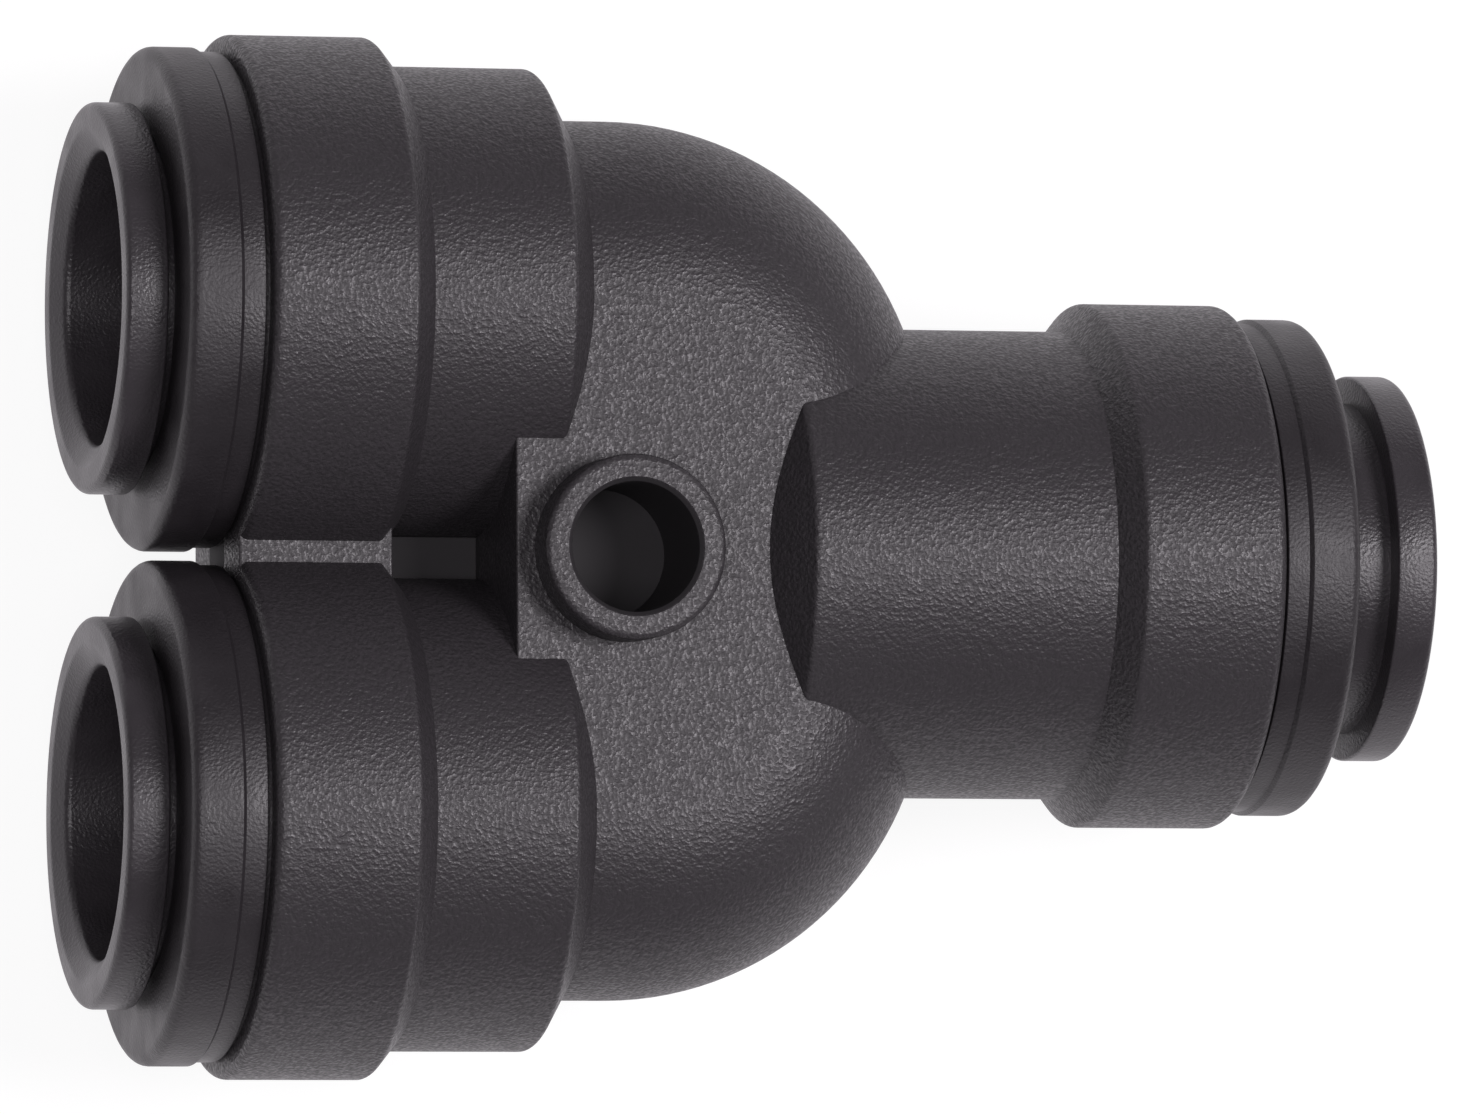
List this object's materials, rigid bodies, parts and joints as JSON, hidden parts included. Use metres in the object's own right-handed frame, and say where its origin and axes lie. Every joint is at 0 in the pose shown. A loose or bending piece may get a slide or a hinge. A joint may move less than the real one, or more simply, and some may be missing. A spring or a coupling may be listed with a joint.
{
  "type": "push-in tubing divider",
  "caption": "Two-way push-in divider for 12 mm tubing: a stem port that splits into parallel branch ports, with release collets and a central mounting boss.",
  "frame": {"origin": "middle of the part, in the plane of the three port axes", "axes": "+X out of the stem port, +Z square to the plane of the ports, the branches open towards -X at +Y and -Y"},
  "size_m": [0.0562, 0.0434, 0.022],
  "materials": {
    "body_plastic": "fine spark-eroded texture",
    "cap_plastic": "smooth satin",
    "collet_plastic": "smooth satin",
    "tooth_steel": "stamped stainless strip",
    "seal_rubber": "moulded"
  },
  "bodies": {
    "body": {"body": "body_plastic", "stem_end_cap": "cap_plastic", "branch_a_end_cap": "cap_plastic", "branch_b_end_cap": "cap_plastic", "stem_o_ring": "seal_rubber", "branch_a_o_ring": "seal_rubber", "branch_b_o_ring": "seal_rubber"},
    "stem_collet": {"stem_collet": "collet_plastic", "stem_grip_teeth": "tooth_steel"},
    "branch_a_collet": {"branch_a_collet": "collet_plastic", "branch_a_grip_teeth": "tooth_steel"},
    "branch_b_collet": {"branch_b_collet": "collet_plastic", "branch_b_grip_teeth": "tooth_steel"}
  },
  "joints": [
    {"name": "stem_collet_press", "type": "slide", "parent": "body", "child": "stem_collet", "axis": [-1, 0, 0], "range_m": [0, 0.0022]},
    {"name": "branch_a_collet_press", "type": "slide", "parent": "body", "child": "branch_a_collet", "axis": [1, 0, 0], "range_m": [-0.00188, 0.00032]},
    {"name": "branch_b_collet_press", "type": "slide", "parent": "body", "child": "branch_b_collet", "axis": [1, 0, 0], "range_m": [-0.00188, 0.00032]}
  ]
}
